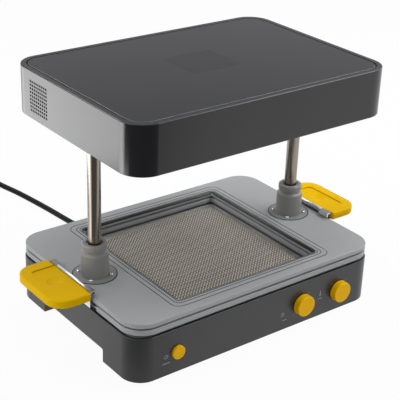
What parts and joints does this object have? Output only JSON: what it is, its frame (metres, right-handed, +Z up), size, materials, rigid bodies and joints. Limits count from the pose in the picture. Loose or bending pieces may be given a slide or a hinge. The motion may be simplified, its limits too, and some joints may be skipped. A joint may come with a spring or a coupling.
{
  "type": "hobby vacuum forming machine",
  "caption": "Desktop vacuum former: heater head on steel columns, latched sheet-clamping trays that slide down to a mesh forming bed, yellow handles and knobs, mains cord.",
  "frame": {"origin": "on the table, midway between the two columns; the base reaches as far to the front as to the back of it", "axes": "+X to the machine's right along its longer side, +Y to its back, +Z up"},
  "size_m": [0.472, 0.723, 0.315],
  "materials": {
    "bed_steel": "satin",
    "black_plastic": "matte",
    "board_green": "satin",
    "bright_latch": "polished",
    "bush_plastic": "matte",
    "column_steel": "brushed",
    "cord_black": "satin",
    "dark_casing": "satin",
    "grey_collar": "satin coat",
    "heater_ceramic": "matte",
    "insulation_wool": "matte",
    "light_tray": "satin coat",
    "pin_brass": "polished",
    "rubber_black": "matte",
    "sheet_aluminium": "satin",
    "steel_plain": "satin",
    "yellow_button": "gloss",
    "yellow_grip": "satin"
  },
  "bodies": {
    "machine": {"base_floor_pan": "steel_plain", "base_housing": "dark_casing", "base_plinth": "dark_casing", "base_screws": "steel_plain", "bed_deck": "light_tray", "bed_seal": "rubber_black", "collar_wells": "sheet_aluminium", "column_left": "column_steel", "column_right": "column_steel", "column_sockets": "sheet_aluminium", "control_board": "board_green", "cord_coil": "cord_black", "cord_strain_relief": "black_plastic", "fan_frame": "black_plastic", "forming_mesh": "bed_steel", "head_bottom_plate": "sheet_aluminium", "head_column_clamps": "sheet_aluminium", "head_posts": "dark_casing", "head_screws": "steel_plain", "head_shell": "dark_casing", "head_top_panel": "dark_casing", "heater_elements": "heater_ceramic", "heater_guard": "steel_plain", "heater_insulation": "insulation_wool", "heater_reflector": "sheet_aluminium", "mains_cord": "cord_black", "mains_plug": "black_plastic", "plug_pins": "pin_brass", "power_board": "board_green", "power_outlet": "black_plastic", "rubber_feet": "rubber_black", "temperature_control": "black_plastic", "timer_control": "black_plastic", "vacuum_dish": "dark_casing", "vacuum_duct": "black_plastic", "vacuum_port": "black_plastic", "vacuum_switch": "black_plastic", "vent_grille": "dark_casing"},
    "tray_carriage": {"lower_tray": "light_tray", "lower_gasket": "rubber_black", "tray_bushes": "bush_plastic", "latch_pins": "steel_plain"},
    "clamping_tray": {"upper_tray": "light_tray", "upper_gasket": "rubber_black", "collar_left": "grey_collar", "collar_right": "grey_collar", "collar_bushes": "bush_plastic", "collar_screws": "steel_plain"},
    "left_latch": {"latch_bracket_left": "bright_latch", "handle_left": "yellow_grip", "handle_screws_left": "steel_plain"},
    "right_latch": {"latch_bracket_right": "bright_latch", "handle_right": "yellow_grip", "handle_screws_right": "steel_plain"},
    "temperature_dial": {"temperature_knob": "yellow_button", "temperature_shaft": "steel_plain"},
    "timer_dial": {"timer_knob": "yellow_button", "timer_shaft": "steel_plain"},
    "vacuum_push_button": {"vacuum_button": "yellow_button"},
    "fan_wheel": {"fan_rotor": "black_plastic"}
  },
  "joints": [
    {"name": "tray_lift", "type": "slide", "parent": "machine", "child": "tray_carriage", "axis": [0, 0, 1], "range_m": [0, 0.168]},
    {"name": "upper_tray_float", "type": "slide", "parent": "tray_carriage", "child": "clamping_tray", "axis": [0, 0, 1], "range_m": [0, 0.002]},
    {"name": "latch_left", "type": "hinge", "parent": "tray_carriage", "child": "left_latch", "pos_m": [-0.183, 0, 0.06775], "axis": [0, -1, 0], "range_deg": [0, 80]},
    {"name": "latch_right", "type": "hinge", "parent": "tray_carriage", "child": "right_latch", "pos_m": [0.183, 0, 0.06775], "axis": [0, 1, 0], "range_deg": [0, 80]},
    {"name": "temperature_turn", "type": "hinge", "parent": "machine", "child": "temperature_dial", "pos_m": [0.126, -0.137, 0.03], "axis": [0, 1, 0], "range_deg": [0, 270]},
    {"name": "timer_turn", "type": "hinge", "parent": "machine", "child": "timer_dial", "pos_m": [0.065, -0.137, 0.03], "axis": [0, 1, 0], "range_deg": [0, 270]},
    {"name": "vacuum_press", "type": "slide", "parent": "machine", "child": "vacuum_push_button", "axis": [0, 1, 0], "range_m": [0, 0.0025], "stiffness_N_per_m": 600, "springref_m": -0.001},
    {"name": "fan_spin", "type": "hinge", "parent": "machine", "child": "fan_wheel", "pos_m": [-0.177, 0.0665, 0.2845], "axis": [1, 0, 0], "continuous": true}
  ]
}
